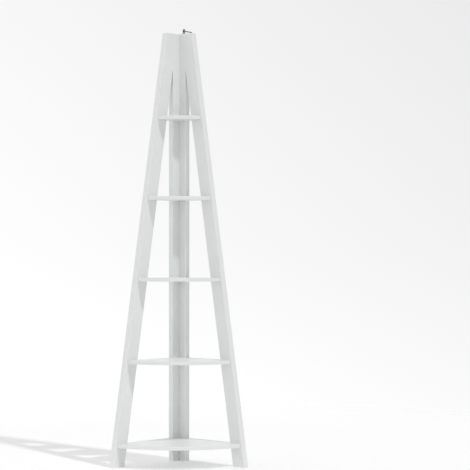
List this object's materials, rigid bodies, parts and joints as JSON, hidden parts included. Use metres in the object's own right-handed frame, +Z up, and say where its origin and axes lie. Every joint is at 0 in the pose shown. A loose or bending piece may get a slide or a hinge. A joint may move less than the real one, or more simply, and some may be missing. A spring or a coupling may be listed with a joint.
{
  "type": "corner ladder shelf",
  "caption": "Tall white corner ladder shelf: L-shaped post, two leaning legs in the wall planes and quarter-round tiers that shrink towards the top.",
  "frame": {"origin": "on the floor, under the middle of the whole outline, including the tip of the wall screw; the corner of the room is 183.2 mm behind it on the middle plane", "axes": "+Z up, +Y towards the corner of the room, so the front faces -Y; +X to the right seen from the front"},
  "size_m": [0.5658, 0.3937, 1.825],
  "materials": {
    "white_painted_board": "satin white paint on smooth board",
    "beech_dowel": "plain turned beech",
    "zinc_furniture_screw": "bright zinc plate",
    "steel_wall_fixing": "dull zinc plate",
    "black_wall_screw": "black phosphate"
  },
  "bodies": {
    "root": {"left_upright": "white_painted_board", "right_upright": "white_painted_board", "left_leg": "white_painted_board", "right_leg": "white_painted_board", "bottom_shelf": "white_painted_board", "second_shelf": "white_painted_board", "third_shelf": "white_painted_board", "fourth_shelf": "white_painted_board", "top_shelf": "white_painted_board", "left_leg_dowels": "beech_dowel", "right_leg_dowels": "beech_dowel", "bottom_shelf_leg_screws": "zinc_furniture_screw", "bottom_shelf_post_screws": "zinc_furniture_screw", "second_shelf_leg_screws": "zinc_furniture_screw", "second_shelf_post_screws": "zinc_furniture_screw", "third_shelf_leg_screws": "zinc_furniture_screw", "third_shelf_post_screws": "zinc_furniture_screw", "fourth_shelf_leg_screws": "zinc_furniture_screw", "fourth_shelf_post_screws": "zinc_furniture_screw", "top_shelf_leg_screws": "zinc_furniture_screw", "top_shelf_post_screws": "zinc_furniture_screw", "upright_joining_screws": "zinc_furniture_screw", "wall_bracket": "steel_wall_fixing", "bracket_screw": "steel_wall_fixing", "wall_screw": "black_wall_screw"}
  },
  "joints": []
}
